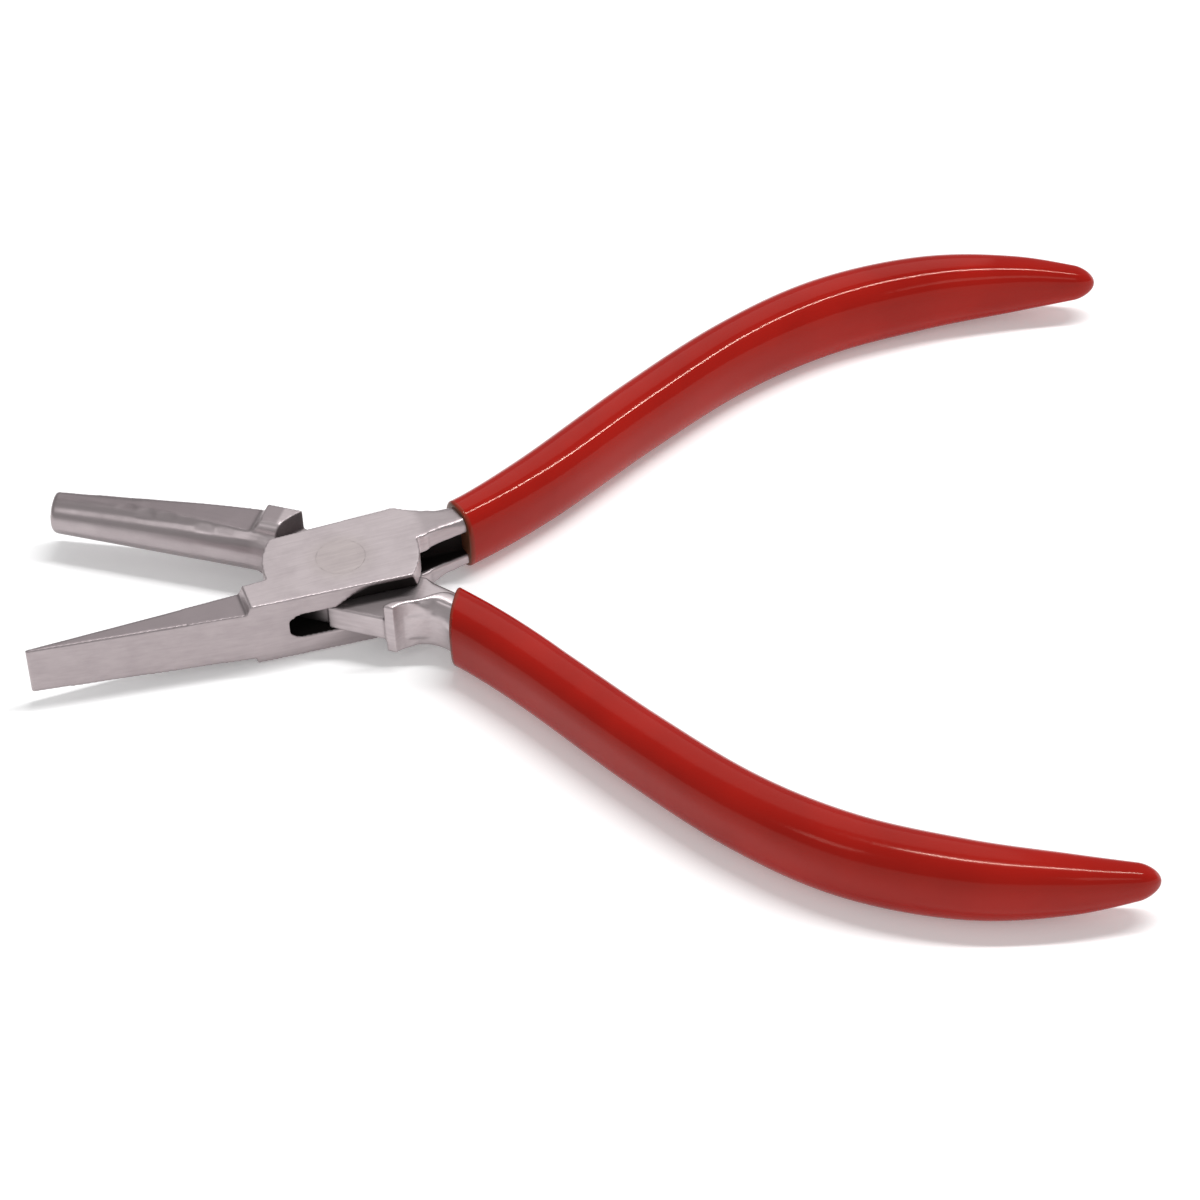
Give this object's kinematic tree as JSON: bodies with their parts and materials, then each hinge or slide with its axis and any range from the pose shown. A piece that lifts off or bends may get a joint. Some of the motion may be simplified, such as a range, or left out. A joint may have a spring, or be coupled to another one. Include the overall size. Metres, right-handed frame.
{
  "type": "jewellery pliers",
  "caption": "Box-joint hand pliers with one flat and one half-round tapered jaw, a flush riveted pivot and dipped plastic grips.",
  "frame": {"origin": "on the pivot axis, at the lower cheek face of the joint", "axes": "+X towards the handles, midway between the two halves; +Y towards the outer half's handle; +Z along the pivot axis, to the upper cheek face"},
  "size_m": [0.1267, 0.1078, 0.0096],
  "materials": {
    "ground_steel": "ground and lightly brushed",
    "rivet_steel": "ground flush with the cheeks",
    "dipped_plastic": "glossy dip-moulded coating"
  },
  "bodies": {
    "outer": {"outer_half": "ground_steel", "joint_rivet": "rivet_steel", "outer_grip": "dipped_plastic"},
    "inner": {"inner_half": "ground_steel", "inner_grip": "dipped_plastic"}
  },
  "joints": [
    {"name": "jaw_pivot", "type": "hinge", "parent": "outer", "child": "inner", "pos_m": [0, 0, 0.0044], "axis": [0, 0, 1], "range_deg": [-42, 37.8]}
  ]
}
